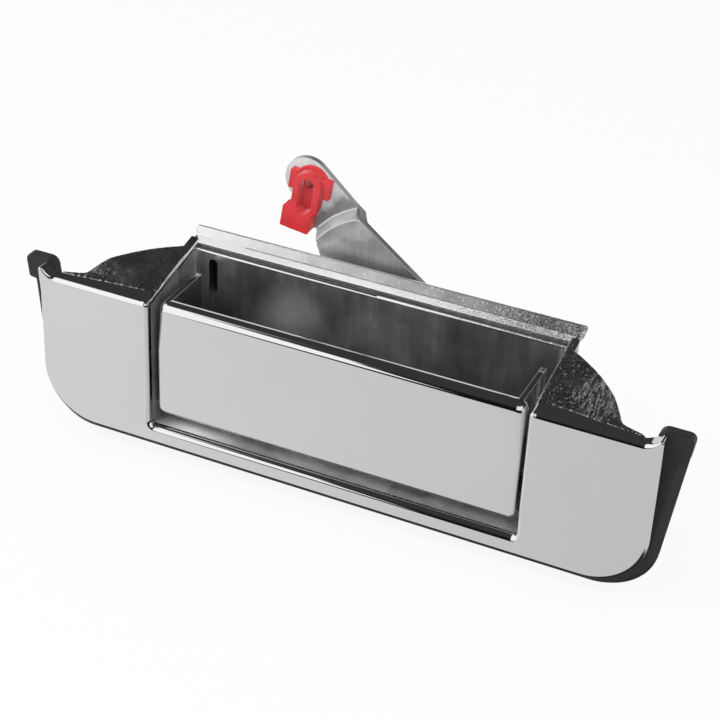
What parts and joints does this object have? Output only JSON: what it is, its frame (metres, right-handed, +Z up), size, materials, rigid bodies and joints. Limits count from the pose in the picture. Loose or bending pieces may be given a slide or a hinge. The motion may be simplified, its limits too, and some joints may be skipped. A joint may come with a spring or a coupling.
{
  "type": "tailgate pull handle",
  "caption": "Chromed flush pull handle for a pickup tailgate: a sprung paddle in a finger pocket lifts a bell crank at the back that pulls the latch rods.",
  "frame": {"origin": "midway between the two mounting studs, on the plane of the tailgate skin's outer face", "axes": "+X along the handle to the right as seen from outside, +Y into the tailgate along the studs, +Z up"},
  "size_m": [0.2304, 0.0561, 0.1011],
  "materials": {
    "chrome_casting": "bright chrome plating, rough as cast on the wings, pocket and rail",
    "paddle_chrome": "bright chrome plating",
    "gasket_rubber": "matt black",
    "plated_steel": "bright zinc plating",
    "spring_steel": "oiled spring steel",
    "zinc_sheet": "zinc plated sheet, rolled grain",
    "nylon": "natural nylon",
    "black_plastic": "fine grain",
    "red_plastic": "moulded gloss"
  },
  "bodies": {
    "housing": {"housing": "chrome_casting", "gasket": "gasket_rubber", "mounting_studs": "plated_steel", "hinge_pin": "plated_steel", "pin_clips": "spring_steel", "bump_stops": "gasket_rubber", "slot_cover": "black_plastic", "cover_screws": "plated_steel", "lever_pivot": "plated_steel", "lever_washer": "plated_steel", "lever_stop": "gasket_rubber", "paddle_spring": "spring_steel", "lever_spring": "spring_steel"},
    "paddle": {"paddle": "paddle_chrome", "hinge_bushes": "nylon", "drive_arm": "zinc_sheet", "arm_rivets": "plated_steel"},
    "lever": {"lever": "zinc_sheet", "lever_bush": "nylon"},
    "upper_clip": {"upper_rod_clip": "red_plastic"},
    "lower_clip": {"lower_rod_clip": "red_plastic"}
  },
  "joints": [
    {"name": "paddle_hinge", "type": "hinge", "parent": "housing", "child": "paddle", "pos_m": [0, 0.002, -0.0175], "axis": [1, 0, 0], "range_deg": [0, 32], "stiffness_Nm_per_rad": 0.3, "springref_deg": -34.38, "deforming": ["paddle_spring"]},
    {"name": "lever_hinge", "type": "hinge", "parent": "housing", "child": "lever", "pos_m": [0, 0.036, 0.014], "axis": [0, 1, 0], "range_deg": [0, 22.4], "deforming": ["lever_spring"]},
    {"name": "upper_clip_swivel", "type": "hinge", "parent": "lever", "child": "upper_clip", "pos_m": [-0.0305, 0.04, 0.0523], "axis": [0, 1, 0], "range_deg": [-4, 180]},
    {"name": "lower_clip_swivel", "type": "hinge", "parent": "lever", "child": "lower_clip", "pos_m": [0.0305, 0.04, -0.0243], "axis": [0, 1, 0], "continuous": true}
  ],
  "couplings": [
    {"joint": "lever_hinge", "follows": "paddle_hinge", "ratio": 0.7}
  ]
}
